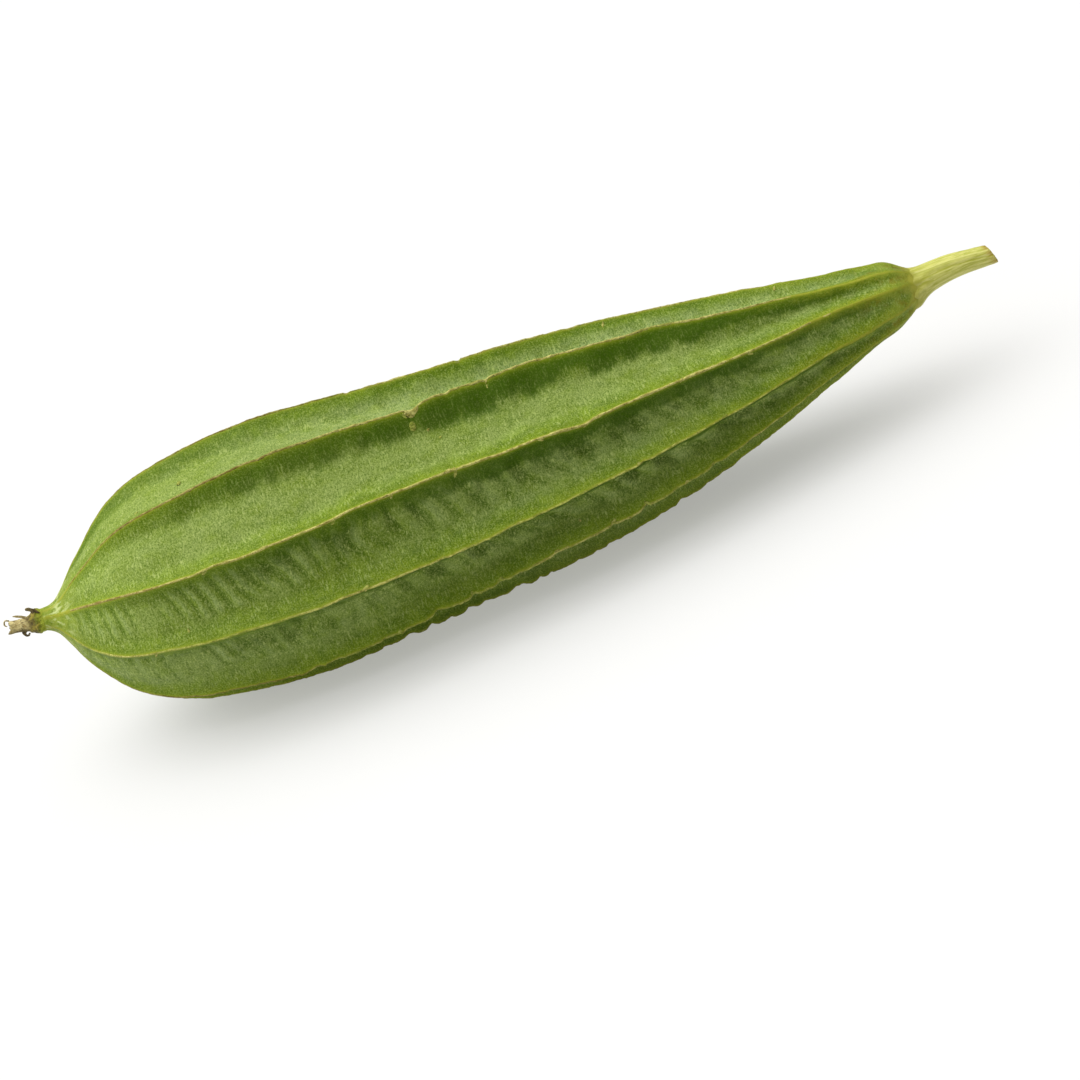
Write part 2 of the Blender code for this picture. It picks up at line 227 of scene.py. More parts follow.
def surface(s, ridge, part):
    """Points in mm at distances s, and at places part from a ridge (-0.5 to 0.5 of the pitch).

    Also returns how raised the puckers are, how high the lumps and how deep the dents are (the paint lays painted
    shade in the dents), and the distance from the crest."""
    s = np.asarray(s, float)
    near = drift(ridge, s)
    other = np.where(part >= 0, drift(ridge + 1, s), drift(ridge - 1, s))
    angle = (ridge + part) * PITCH + (1 - np.abs(part)) * near + np.abs(part) * other
    crest = smooth(CREST_RADIUS, s)
    width = PITCH * crest
    away = np.abs(part) * width

    t = np.clip((np.abs(part) - 0.010) / 0.49, 0, 1)
    panel = np.where(part >= 0, ridge, ridge - 1) % 10
    upper = part < 0
    wall = smooth(WALL, s) * (
        1 + 0.16 * noise(s / 6.5, panel * 3.0, upper * 7.0, seed=11) + 0.10 * noise(s / 2.3, panel * 3.0, upper * 7.0, seed=12)
    )
    above = [0.5 * (1 - q / wall + np.hypot(1 - q / wall, 0.36)) for q in (t, 0.0, 1.0)]
    sharp = 1 - (above[0] - above[2]) / (above[1] - above[2])
    rounded = 0.5 - 0.5 * np.cos(math.pi * t)
    soft = 0.75 * ease(150, 208, s)
    radius = crest * (1 - smooth(GROOVE_DEPTH, s) * ((1 - soft) * sharp + soft * rounded))

    # a thin fin on each crest, and its wear
    fin = smooth([(0, 0), (14, 0.10), (35, 0.25), (120, 0.30), (170, 0.25), (205, 0.10), (221, 0)], s)
    radius = radius - fin * (1 - np.exp(-((away / 0.7) ** 2))) * np.exp(-((away / 2.2) ** 2))
    radius = radius - wear(ridge, s) * np.exp(-((away / 1.5) ** 2)) - 0.12

    # the panel this place is in, and how far up it: 0 on the lower ridge, 1 on the upper
    climb = np.where(part >= 0, part, 1 + part)
    across = (climb - 0.5) * width
    pucker = np.vectorize(PUCKER.get)(panel).astype(float)
    lumps = np.vectorize(LUMPS.get)(panel).astype(float)

    # puckers: short folds across the panel, below its upper ridge, strongest near the blossom end
    bend = noise(s / 9.0, across / 7.0, panel * 5.0, seed=31)
    turns = 30.0 * np.log(1 + s / 82.0)  # one every 2.8 mm at the blossom end, then wider apart
    phase = 2 * math.pi * (turns + 0.075 * across) + 2.0 * bend + panel * 1.7
    fold = np.sin(phase) * 0.78 + 0.25 * np.sin(2 * phase + 0.9)
    window = ease(0.16, 0.42, climb) * (1 - ease(0.84, 0.99, climb))
    extent = smooth([(0, 0), (4, 0), (9, 1.0), (18, 1.35), (45, 1.45), (70, 1.4), (110, 1.35), (150, 1.2), (185, 0.7), (212, 0.1)], s)
    lively = np.clip(0.80 + 0.60 * noise(s / 7.0, across / 6.0, panel * 9.0, seed=33), 0.15, 1.3)
    raised = fold * window * lively * pucker
    radius = radius + 0.21 * raised * extent
    raised = raised * np.minimum(extent, 1.0)

    # broad lumps and dents
    centre, up, along = frames(s)
    place = centre + (crest * 0.9)[..., None] * (
        np.cos(angle)[..., None] * np.array([0.0, -1.0, 0.0]) + np.sin(angle)[..., None] * up
    )
    x, y, z = place[..., 0], place[..., 1], place[..., 2]
    # dents drawn out up the panel, under its upper ridge
    dent = np.clip(noise((s + 0.22 * across) / 3.1, across / 9.0, panel * 13.0, seed=35) + 0.45 * noise(s / 1.5, across / 4.0, panel * 3.0, seed=36) + 0.10, 0, 1)
    dent = dent * ease(0.28, 0.58, climb) * (1 - ease(0.90, 1.0, climb))
    dent = dent * smooth([(0, 0), (25, 0.15), (50, 0.55), (80, 1), (150, 1), (185, 0.6), (210, 0)], s)
    dent = dent * np.vectorize(DENTS.get)(panel).astype(float)
    radius = radius - 0.62 * dent

    hump = np.sin(math.pi * np.clip(climb, 0, 1)) ** 1.2
    big = noise(x / 7.5, y / 5.0, z / 5.0, seed=41) + 0.45 * noise(x / 3.6, y / 2.9, z / 2.9, seed=42)
    reach = smooth([(0, 0), (12, 0.25), (45, 0.45), (85, 0.9), (140, 1.0), (185, 0.9), (208, 0.7), (221, 0)], s)
    radius = radius + 0.36 * big * hump * reach * lumps
    radius = radius + 0.05 * noise(x / 1.3, y / 1.3, z / 1.3, seed=43) * ease(0, 8, s)
    swell = noise(s / 4.5, ridge * 3.0, seed=44) * np.exp(-((away / 2.6) ** 2))
    radius = radius + 0.28 * swell * smooth([(0, 0), (178, 0), (194, 1), (211, 1), (219, 0), (221, 0)], s)
    radius = radius - 0.75 * ease(220.0, 221.0, s)  # it ends inside the stem's foot

    centre, up, along = frames(s)
    out = np.cos(angle)[..., None] * np.array([0.0, -1.0, 0.0]) + np.sin(angle)[..., None] * up
    hollow = big * hump * reach * lumps * 0.6 - 1.6 * dent
    return centre + radius[..., None] * out, raised, hollow, away, climb, across, panel, out


def mesh_object(name, verts, faces, smooth_shading=True):
    mesh = bpy.data.meshes.new(name)
    mesh.from_pydata(np.asarray(verts, float) * MM, [], faces)
    mesh.update()
    bm = bmesh.new()
    bm.from_mesh(mesh)
    bmesh.ops.recalc_face_normals(bm, faces=bm.faces)
    bm.to_mesh(mesh)
    bm.free()
    if smooth_shading:
        mesh.shade_smooth()
    made = bpy.data.objects.new(name, mesh)
    bpy.context.scene.collection.objects.link(made)
    return made


def value(mesh, name, numbers):
    layer = mesh.attributes.new(name, "FLOAT", "POINT")
    layer.data.foreach_set("value", np.asarray(numbers, np.float32).ravel())


# ---------------------------------------------------------------- the rind
CELLS, ROWS = 30, 322
# how grey-white the bloom in each groove is, along the fruit: partly the skin's own bloom, partly painted sheen
WAX_AND_SHEEN = {
    0: [(0, 0.30), (30, 0.15), (70, 0.05), (105, 0.45), (150, 0.55), (185, 0.55), (200, 0.55), (221, 0.2)],
    1: [(0, 0.25), (60, 0.3), (120, 0.3), (150, 0.4), (185, 0.5), (200, 0.6), (221, 0.2)],
    2: [(0, 0.1), (40, 0.30), (70, 0.75), (100, 1.1), (160, 1.2), (200, 0.9), (221, 0.2)],
    9: [(0, 0.35), (30, 0.45), (60, 0.3), (90, 0.2), (150, 0.35), (190, 0.5), (221, 0.2)],
    4: [(0, 0.2), (60, 0.4), (150, 0.5), (200, 0.8), (221, 0.4)],
}
# how strong the painted shade band under each panel's upper ridge is, along the fruit: partly the flank's own deeper
# green, mostly painted shade
SHADE_BAND = {
    0: [(0, 0.1), (40, 0.25), (80, 0.58), (120, 0.88), (170, 0.9), (203, 0.9), (215, 0.4), (221, 0.2)],
    1: [(0, 0.1), (30, 0.20), (50, 0.62), (75, 0.72), (95, 0.8), (110, 1.0), (160, 1.0), (190, 0.95), (207, 0.7), (221, 0.1)],
    2: [(0, 0.6), (30, 0.55), (60, 0.25), (90, 0.1), (150, 0.1), (190, 0.25), (221, 0.1)],
    9: [(0, 0.1), (40, 0.32), (75, 0.8), (110, 1.0), (170, 1.0), (203, 0.9), (215, 0.4), (221, 0.2)],
    4: [(0, 0.2), (40, 0.5), (90, 0.7), (160, 0.7), (200, 0.5), (221, 0.1)],
}


def rind():
    fine = np.linspace(0, LENGTH, 4001)
    run = np.r_[0, np.cumsum(np.hypot(np.diff(fine), np.diff(smooth(CREST_RADIUS, fine))))]
    stations = np.interp(np.linspace(0, run[-1], ROWS), run, fine)
    x = np.arange(CELLS) / CELLS - 0.5
    parts = 0.5 * np.sinh(2.4 * 2 * x) / math.sinh(2.4)  # close together on the crest
    columns = 10 * CELLS
    points = np.zeros((ROWS, columns, 3))
    raised, lump, away, climb = (np.zeros((ROWS, columns)) for _ in range(4))
    for ridge in range(10):
        for j, part in enumerate(parts):
            c = ridge * CELLS + j
            p, r, b, a, cl, _, _, _ = surface(stations, ridge, np.full(ROWS, part))
            points[:, c], raised[:, c], lump[:, c], away[:, c], climb[:, c] = p, r, b, a, cl
    points[..., 2] = np.maximum(points[..., 2], 0.0)  # pressed flat on what it lies on

    verts = list(points.reshape(-1, 3))
    verts += [points[0].mean(0), points[-1].mean(0)]
    first, last = len(verts) - 2, len(verts) - 1
    grid = np.arange(ROWS * columns).reshape(ROWS, columns)
    turned = np.roll(grid, -1, axis=1)
    quads = np.stack([grid[:-1], turned[:-1], turned[1:], grid[1:]], -1).reshape(-1, 4).tolist()
    fans = [[first, int(turned[0, c]), int(grid[0, c])] for c in range(columns)]
    fans += [[last, int(grid[-1, c]), int(turned[-1, c])] for c in range(columns)]
    made = mesh_object("gourd_skin", verts, quads + fans)
    mesh = made.data

    along = np.r_[np.repeat(stations, columns), 0, LENGTH]
    value(mesh, "along", along)
    value(mesh, "crest", np.r_[away.ravel(), 0, 0])
    value(mesh, "fold", np.r_[raised.ravel(), 0, 0])
    value(mesh, "lump", np.r_[lump.ravel(), 0, 0])
    value(mesh, "under", np.r_[1 - climb.ravel(), 0, 0])
    shade_band = np.zeros((ROWS, columns))
    for c in range(columns):
        panel = (c // CELLS - (parts[c % CELLS] < 0)) % 10
        shade_band[:, c] = smooth(SHADE_BAND.get(panel, SHADE_BAND[4]), stations)
    value(mesh, "shade_band", np.r_[shade_band.ravel(), 0, 0])
    wax_and_sheen = np.zeros((ROWS, columns))
    for c in range(columns):
        panel = (c // CELLS - (parts[c % CELLS] < 0)) % 10
        wax_and_sheen[:, c] = smooth(WAX_AND_SHEEN.get(panel, WAX_AND_SHEEN[4]), stations)
    value(mesh, "wax_and_sheen", np.r_[wax_and_sheen.ravel(), 0, 0])

    # panel coordinates in mm, across and along, different for each panel
    start = np.zeros(len(mesh.loops), np.int64)
    mesh.loops.foreach_get("vertex_index", start)
    face_start = np.zeros(len(mesh.polygons), np.int64)
    face_size = np.zeros(len(mesh.polygons), np.int64)
    mesh.polygons.foreach_get("loop_start", face_start)
    mesh.polygons.foreach_get("loop_total", face_size)
    owner = np.repeat(np.arange(len(mesh.polygons)), face_size)
    column = np.where(start < ROWS * columns, start % columns, 0)
    row = np.where(start < ROWS * columns, start // columns, np.where(start == first, 0, ROWS - 1))
    part = parts[column % CELLS]
    # the face's own middle decides which panel its corners belong to
    angle = column * 2 * math.pi / columns
    mean = np.zeros((len(mesh.polygons), 2))
    np.add.at(mean, owner, np.c_[np.cos(angle), np.sin(angle)])
    middle = (np.arctan2(mean[:, 1], mean[:, 0]) % (2 * math.pi)) / (2 * math.pi) * columns
    panel = (np.floor(middle / CELLS - 0.5) % 10)[owner]
    width = PITCH * smooth(CREST_RADIUS, stations)[row]
    upward = np.where(part > 1e-9, part, np.where(part < -1e-9, 1 + part, 0.0))
    crest_vertex = np.abs(part) < 1e-9
    ridge_of = column // CELLS
    upward = np.where(crest_vertex & ((panel + 1) % 10 == ridge_of), 1.0, upward)
    layer = mesh.uv_layers.new(name="panel")
    uv = np.c_[(upward - 0.5) * width + 60 * panel, stations[row]]
    layer.data.foreach_set("uv", uv.astype(np.float32).ravel())
    return made


# ---------------------------------------------------------------- the corky line on each crest
TAN = {0: 0.45, 1: 0.95, 2: 0.85, 3: 0.6, 4: 0.7, 5: 0.8, 6: 0.6, 7: 0.5, 8: 0.35, 9: 0.4}


def cork_lines():
    rows = 620
    stations = np.linspace(5.0, 213.0, rows)
    verts, faces, tan, along, brown = [], [], [], [], []
    for ridge in range(10):
        tone = TAN[ridge]
        broken = 0.5 + 0.5 * fractal(stations / 7.0, ridge * 4.4, seed=51) + 0.35 * noise(stations / 1.6, ridge, seed=52)
        broken = np.clip(broken * 1.25 + 0.18, 0.12, 1.25)
        broken = broken * smooth([(5, 0.2), (16, 0.8), (60, 1), (150, 1), (178, 0.75), (192, 0.3), (206, 0.1), (213, 0.05)], stations)
        half = (0.12 + 0.19 * broken) * (0.75 + 0.35 * tone)
        rise = 0.02 + 0.10 * broken + 0.04 * noise(stations / 0.7, ridge * 3.0, seed=53)
        rise = np.where(broken < 0.2, -0.08, rise)
        width = PITCH * smooth(CREST_RADIUS, stations)
        lean = 0.25 * noise(stations / 5.5, ridge * 9.0, seed=54)
        ring = []
        for step, height in ((-1.0, -0.05), (-0.62, 0.62), (-0.1, 1.0), (0.45, 0.8), (1.0, -0.05), (0.5, -1.0), (-0.5, -1.0)):
            at = (step + lean * (height > 0)) * half + 0.05 * noise(stations / 0.9, ridge * 2.0 + step, seed=55)
            part = at / width
            p, _, _, _, _, _, _, out = surface(stations, ridge, part)
            lift = np.where(height >= 0, height * rise, 0.0) + (height < -0.5) * -0.35
            lift = lift + (height > 0) * 0.04 * noise(stations / 0.55, step * 3.1, ridge * 7.0, seed=56)
            ring.append(p + lift[:, None] * out)
        ring = np.stack(ring, 1)
        n = ring.shape[1]
        ring[..., 2] = np.maximum(ring[..., 2], 0.0)
        base = len(verts)
        verts += list(ring.reshape(-1, 3))
        index = base + np.arange(rows * n).reshape(rows, n)
        turned = np.roll(index, -1, axis=1)
        faces += np.stack([index[:-1], turned[:-1], turned[1:], index[1:]], -1).reshape(-1, 4).tolist()
        faces += [index[0][::-1].tolist(), index[-1].tolist()]
        tan += list(np.repeat(np.clip(tone + 0.35 * noise(stations / 11.0, ridge * 6.0, seed=57), 0, 1), n))
        along += list(np.repeat(stations, n))
        early = {2: 78.0, 3: 90.0, 1: 34.0, 9: 60.0}.get(ridge, 0.0)
        dark = 0.75 * (1 - ease(early - 14, early + 6, stations)) + 0.45 * np.clip(fractal(stations / 5.0, ridge * 8.0, seed=58), 0, 1)
        brown += list(np.repeat(np.clip(dark, 0, 1), n))
    made = mesh_object("ridge_cork", verts, faces)
    value(made.data, "brown", brown)
    value(made.data, "tan", tan)
    value(made.data, "along", along)
    return made


# small corky scales and slivers that stand off the rind: ridge, distance along, place across
# from the crest (all mm), length, width, turn in degrees from the ridge's line
SCALES = [
    (2, 98.3, -0.5, 3.2, 1.3, 12), (2, 100.6, 0.2, 2.2, 0.7, 20), (2, 97.3, -2.7, 1.7, 1.4, 40), (2, 96.6, -0.8, 1.3, 0.6, -20), (2, 100.5, -4.3, 0.7, 0.5, 40),
    (2, 102.5, -7.4, 0.7, 0.5, 30), (2, 107.0, 0.1, 1.6, 0.4, 8), (2, 117.2, -0.2, 1.3, 0.5, 60), (2, 117.0, -1.0, 0.7, 0.4, 80),
    (2, 128.0, 0.1, 2.0, 0.5, -6), (2, 62.0, 0.2, 1.8, 0.5, 5), (2, 47.0, 2.2, 1.6, 0.8, 45), (2, 42.0, 9.0, 2.1, 1.2, 75), (2, 43.8, 2.6, 0.9, 0.5, 20),
    (2, 35.0, 2.3, 1.5, 0.7, 30), (2, 36.5, 3.1, 1.0, 0.5, -40), (2, 52.0, 1.6, 1.5, 0.5, 25), (2, 30.0, 4.5, 1.1, 0.5, 10), (2, 66.0, 1.4, 1.2, 0.5, 15), (2, 140.0, 3.0, 1.2, 0.5, 70),
    (1, 101.8, 0.2, 3.0, 1.0, 6), (1, 102.6, -0.9, 1.6, 0.9, 60), (1, 87.2, -0.5, 1.1, 0.5, 50), (1, 72.8, -0.6, 1.7, 0.7, 28), (1, 65.0, -0.2, 2.2, 0.5, 5),
    (1, 56.0, 0.3, 1.8, 0.5, -6), (1, 41.5, -0.5, 1.5, 0.6, 30), (1, 124.0, -0.4, 1.4, 0.5, -20), (1, 135.0, -0.4, 1.3, 0.5, 10), (1, 160.0, 0.0, 1.2, 0.5, 50), (1, 177.5, -0.6, 1.3, 0.5, -15),
    (0, 74.5, 0.3, 1.6, 0.6, 12), (0, 74.3, -0.8, 1.2, 0.5, 75), (0, 93.5, -0.3, 1.3, 0.6, 70), (0, 95.0, -0.2, 1.3, 0.4, 5), (0, 118.0, -0.4, 1.1, 0.4, 50), (0, 143.6, 0.0, 1.5, 0.6, -30),
    (0, 126.0, -0.4, 1.2, 0.5, 60), (0, 49.0, -1.8, 1.3, 0.6, -50), (0, 47.5, -0.9, 1.1, 0.5, 20), (0, 24.0, -1.0, 1.2, 0.5, 60), (0, 33.0, 3.2, 1.1, 0.5, 80), (0, 166.0, 0.3, 1.3, 0.5, 0),
    (9, 88.0, -0.4, 1.9, 0.7, 25), (9, 97.5, 0.2, 1.8, 0.7, -20), (9, 104.0, 0.3, 1.7, 0.6, 15), (9, 109.0, -0.3, 1.5, 0.6, 30), (9, 118.5, 0.2, 1.5, 0.5, 0), (9, 133.0, 0.4, 1.3, 0.5, 20),
    (9, 141.8, 0.3, 1.9, 0.8, -25), (9, 152.0, 0.2, 1.2, 0.5, 10), (9, 159.0, 0.0, 1.4, 0.5, 35), (9, 161.8, -0.3, 1.2, 0.5, 15), (9, 63.0, -0.4, 1.6, 0.6, -10), (9, 78.0, 0.3, 1.4, 0.5, 15), (9, 126.0, 3.4, 0.5, 0.5, 0),
    (3, 85.5, 0.0, 1.6, 0.6, 10), (3, 113.0, 0.0, 1.8, 0.8, 10), (3, 99.0, 0.3, 1.3, 0.5, 10), (3, 149.0, -1.1, 1.2, 0.5, 60), (3, 190.0, -1.5, 1.2, 0.5, 60), (3, 134.0, 0.2, 1.2, 0.5, 0),
    (8, 96.0, 0.0, 1.5, 0.6, 10), (8, 109.0, 0.0, 1.6, 0.6, -15), (8, 83.0, 0.1, 1.4, 0.6, 0), (4, 70.0, 0.1, 1.9, 0.7, 10), (4, 128.0, -0.2, 1.7, 0.7, 40), (4, 95.0, 2.3, 1.1, 0.6, 60),
    (5, 92.0, 0.1, 1.6, 0.6, 20), (5, 150.0, 0.0, 1.4, 0.5, 5), (5, 48.0, -2.1, 1.2, 0.6, 50), (6, 58.0, 0.0, 1.6, 0.6, 15), (6, 112.0, 0.2, 1.9, 0.7, -30), (6, 84.0, 1.9, 1.0, 0.5, 70), (7, 133.0, 0.0, 1.5, 0.6, 10),
]


def scales():
    """Each scale is a small ragged flake, thick in its middle, one end curled off the rind."""
    across_n, along_n = 6, 9
    verts, faces, tan = [], [], []
    for number, (ridge, at, offset, length, wide, turn) in enumerate(SCALES):
        u = np.linspace(-1, 1, along_n)[:, None] * np.ones((1, across_n))
        v = np.ones((along_n, 1)) * np.linspace(-1, 1, across_n)[None, :]
        edge = 1 + 0.30 * noise(u * 1.9, v * 1.4, number * 3.7, seed=61)
        taper = np.sqrt(np.clip(1 - 0.93 * u**2, 0, 1))
        a, b = math.radians(turn), 0.5
        du, dv = u * length * b * edge, v * wide * b * taper * edge
        s = at + du * math.cos(a) - dv * math.sin(a)
        shift = offset + du * math.sin(a) + dv * math.cos(a)
        width = PITCH * smooth(CREST_RADIUS, s)
        p, _, _, _, _, _, _, out = surface(s.ravel(), ridge, (shift / width).ravel())
        body = (1 - u**2) * (1 - v**2)
        curl = 0.30 * np.clip(u * (1 if number % 2 else -1), 0, 1) ** 2 * wide
        lift = (0.03 + 0.13 * wide * body + curl + 0.04 * noise(u * 3, v * 3, number, seed=62)).ravel()
        top = p + lift[:, None] * out
        bottom = p + (lift - 0.09 - 0.05 * body.ravel())[:, None] * out - (1 - np.abs(u).ravel() ** 2)[:, None] * 0.08 * out
        base = len(verts)
        top[:, 2], bottom[:, 2] = np.maximum(top[:, 2], 0.0), np.maximum(bottom[:, 2], 0.0)
        verts += list(top) + list(bottom)
        n = along_n * across_n
        grid = np.arange(n).reshape(along_n, across_n)
        for i in range(along_n - 1):
            for j in range(across_n - 1):
                q = [grid[i, j], grid[i + 1, j], grid[i + 1, j + 1], grid[i, j + 1]]
                faces.append([base + int(k) for k in q])
                faces.append([base + n + int(k) for k in q[::-1]])
        rim = list(grid[0, :]) + list(grid[1:, -1]) + list(grid[-1, -2::-1]) + list(grid[-2:0:-1, 0])
        for k, m in zip(rim, rim[1:] + rim[:1]):
            faces.append([base + int(k), base + int(m), base + n + int(m), base + n + int(k)])
        tan += [0.5 + 0.5 * float(lattice(np.array(number), np.array(3), np.array(5), 9))] * (2 * n)
    made = mesh_object("skin_scales", verts, faces)
    value(made.data, "tan", tan)
    value(made.data, "brown", [0.0] * len(verts))
    return made


# ---------------------------------------------------------------- tubes: the stem and the flower
def walk(start, slopes, length, steps, heading=1.0):
    s = np.linspace(0, length, steps)
    a = np.radians(smooth(slopes, s))
    mid = (a[1:] + a[:-1]) / 2
    x = start[0] + heading * np.r_[0, np.cumsum(np.cos(mid) * np.diff(s))]
    z = start[2] + np.r_[0, np.cumsum(np.sin(mid) * np.diff(s))]
    along = np.c_[heading * np.cos(a), np.zeros(steps), np.sin(a)]
    up = np.c_[-heading * np.sin(a), np.zeros(steps), np.cos(a)]
    return s, np.c_[x, np.full(steps, start[1]), z], along, up


def stem():
    """The pedicel: it flares out of the fruit's shoulder, and ends in a slanting dry cut."""
    centre, _, along = (v[0] for v in frames(np.array([LENGTH])))
    inside = 2.6
    start = centre - along * inside - np.array([0, 0, 0.15])
    length = 20.2 + inside
    rise = [(0.0, 1.0), (2.2, 8.0), (4.0, 10.0), (6.6, 5.5), (11.6, -2.5), (16.6, -7.0), (length, -8.0)]
    rows, around = 110, 120
    s, path, forward, up = walk(start, rise, length, rows)
    radius = smooth(
        [(0, 5.3), (1.2, 5.15), (2.2, 4.75), (3.2, 4.28), (4.6, 3.82), (6.6, 3.42), (9.0, 3.2), (12.0, 3.0), (15.5, 2.75), (18.5, 2.58), (20.5, 2.5), (length, 2.46)], s
    )
    theta = np.linspace(0, 2 * math.pi, around, endpoint=False)
    S, T = np.meshgrid(s, theta, indexing="ij")
    twist = T + 0.012 * S
    ribs = 0.030 * np.cos(5 * twist + 0.6) + 0.014 * np.cos(11 * twist + 1.9)
    strands = 0.62 * np.sin(17 * twist + 1.2 * noise(S / 9.0, T * 1.2, seed=71)) + 0.38 * np.sin(29 * twist + 1.4 * noise(S / 6.0, T * 2, seed=72))
    flute = 0.045 * np.cos(10 * T) * (1 - ease(1.0, 7.0, S))
    R = radius[:, None] * (1 + ribs * ease(2, 8, S) + flute) + 0.030 * strands * ease(1.5, 6, S)
    R = R + 0.05 * noise(S / 2.0, np.cos(T) * 2, np.sin(T) * 2, seed=73)
    R = R - 0.30 * np.clip(-np.sin(T), 0, 1) * (1 - ease(2.6, 7.5, S))  # slimmer under its foot
    end = ease(length - 1.1, length, S)
    R = R * (1 - 0.045 * end)
    side = np.array([0.0, -1.0, 0.0])
    out = np.cos(T)[..., None] * side + np.sin(T)[..., None] * up[:, None, :]
    points = path[:, None, :] + R[..., None] * out
    # the cut slants: the underside is longer
    slant = -0.42 * R * np.sin(T - 0.35) * (S / length) ** 6
    points = points + (slant - 0.75 * (S / length) ** 6)[..., None] * forward[:, None, :]
    verts = list(points.reshape(-1, 3))
    grid = np.arange(rows * around).reshape(rows, around)
    turned = np.roll(grid, -1, axis=1)
    faces = np.stack([grid[:-1], turned[:-1], turned[1:], grid[1:]], -1).reshape(-1, 4).tolist()
    cut = [np.zeros(rows * around)]
    # the cut face: a dry rim, then a slightly sunken face with a spongy middle
    last = grid[-1]
    middle = points[-1].mean(0)
    rim = points[-1]
    for share, sink in ((0.93, 0.02), (0.84, -0.22), (0.66, -0.34), (0.46, -0.30), (0.25, -0.42)):
        bumpy = 0.06 * noise(np.cos(theta) * share * 6, np.sin(theta) * share * 6, seed=74)
        ring = middle + (rim - middle) * share + (sink + bumpy)[:, None] * forward[-1]
        index = len(verts) + np.arange(around)
        verts += list(ring)
        faces += np.stack([last, np.roll(last, -1), np.roll(index, -1), index], -1).tolist()
        last = index
        cut.append(np.full(around, 1.0 - share * 0.5))
    tip = len(verts)
    verts.append(middle - 0.45 * forward[-1])
    faces += [[int(a), int(b), tip] for a, b in zip(last, np.roll(last, -1))]
    root = len(verts)
    verts.append(path[0])
    faces += [[int(b), int(a), root] for a, b in zip(grid[0], np.roll(grid[0], -1))]
    made = mesh_object("cut_stem", verts, faces)
    value(made.data, "along", np.r_[S.ravel() - inside, np.full(len(verts) - rows * around - 1, length - inside), 0])
    value(made.data, "cut", np.r_[np.concatenate(cut), 1.0, 0.0])
    value(made.data, "strand", np.r_[strands.ravel(), np.zeros(len(verts) - rows * around)])
    return made


def flower():
    """The dried flower: a wrinkled collar, and the open husk of the tube that came out of it."""
    centre, _, along = (v[0] for v in frames(np.array([0.0])))
    inside = 0.8
    start = centre + along * inside
    length = 8.3 + inside
    rise = [(0.0, 13.0), (inside, 6.0), (2.8, 8.0), (5.8, 12.0), (length, 15.0)]
    rows, around = 90, 96
    s, path, forward, up = walk(start, rise, length, rows, heading=-1.0)
    radius = smooth(
        [(0, 2.55), (0.8, 2.72), (1.5, 2.95), (2.2, 2.98), (3.0, 2.7), (3.8, 2.15), (4.8, 1.78), (6.2, 1.6), (7.6, 1.52), (length, 1.58)], s
    )
    theta = np.linspace(0, 2 * math.pi, around, endpoint=False)
    S, T = np.meshgrid(s, theta, indexing="ij")
    cx, cy = np.cos(T), np.sin(T)
    wrinkle = noise(S / 2.6 + 4 * T / math.pi * 0, cx * 2.6, cy * 2.6, seed=81)
    crease = np.abs(noise(S / 1.9, cx * 3.4, cy * 3.4, seed=82))
    fine = noise(S / 0.55, cx * 7, cy * 7, seed=83)
    amount = ease(0.6, 1.6, S) * (1 - 0.55 * ease(3.0, 5.0, S))
    R = radius[:, None] * (1 + amount * (0.13 * wrinkle - 0.20 * crease + 0.045 * np.cos(5 * T + 1.0))) + 0.05 * fine * amount
    collar = 0.30 * np.exp(-(((S - 2.1) / 0.35) ** 2)) * (0.4 + 0.9 * np.clip(noise(cx * 2.4, cy * 2.4, seed=84), -0.3, 1))
    R = R + collar
    side = np.array([0.0, -1.0, 0.0])
    out = cx[..., None] * side + cy[..., None] * up[:, None, :]
    points = path[:, None, :] + R[..., None] * out
    ragged = 0.55 * noise(cx * 2.2, cy * 2.2, seed=85) * (S / length) ** 8
    points = points + ragged[..., None] * forward[:, None, :]
    verts = list(points.reshape(-1, 3))
    grid = np.arange(rows * around).reshape(rows, around)
    turned = np.roll(grid, -1, axis=1)
    faces = np.stack([grid[:-1], turned[:-1], turned[1:], grid[1:]], -1).reshape(-1, 4).tolist()
    inner = [np.zeros(rows * around)]
    last, middle, rim = grid[-1], points[-1].mean(0), points[-1]
    for share, sink in ((0.86, 0.03), (0.70, -0.15), (0.62, -0.8), (0.58, -1.7), (0.50, -2.4), (0.25, -2.6)):
        bumpy = 0.10 * noise(cx[0] * 3, cy[0] * 3, sink * 2, seed=86)
        ring = middle + (rim - middle) * (share + 0.4 * bumpy)[:, None] + sink * forward[-1]
        index = len(verts) + np.arange(around)
        verts += list(ring)
        faces += np.stack([last, np.roll(last, -1), np.roll(index, -1), index], -1).tolist()
        last = index
        inner.append(np.full(around, min(1.0, 0.25 - sink * 0.6)))
    tip = len(verts)
    verts.append(middle - 2.65 * forward[-1])
    faces += [[int(a), int(b), tip] for a, b in zip(last, np.roll(last, -1))]
    root = len(verts)
    verts.append(path[0])
    faces += [[int(b), int(a), root] for a, b in zip(grid[0], np.roll(grid[0], -1))]
    made = mesh_object("flower_husk", verts, faces)
    total = len(verts)
    value(made.data, "along", np.r_[S.ravel() - inside, np.full(total - rows * around - 1, length - inside), 0])
    value(made.data, "inner", np.r_[np.concatenate(inner), 1.0, 0.0])
    value(made.data, "crease", np.r_[crease.ravel(), np.zeros(total - rows * around)])
    value(made.data, "low", np.r_[-cy.ravel(), np.zeros(total - rows * around)])
    return made


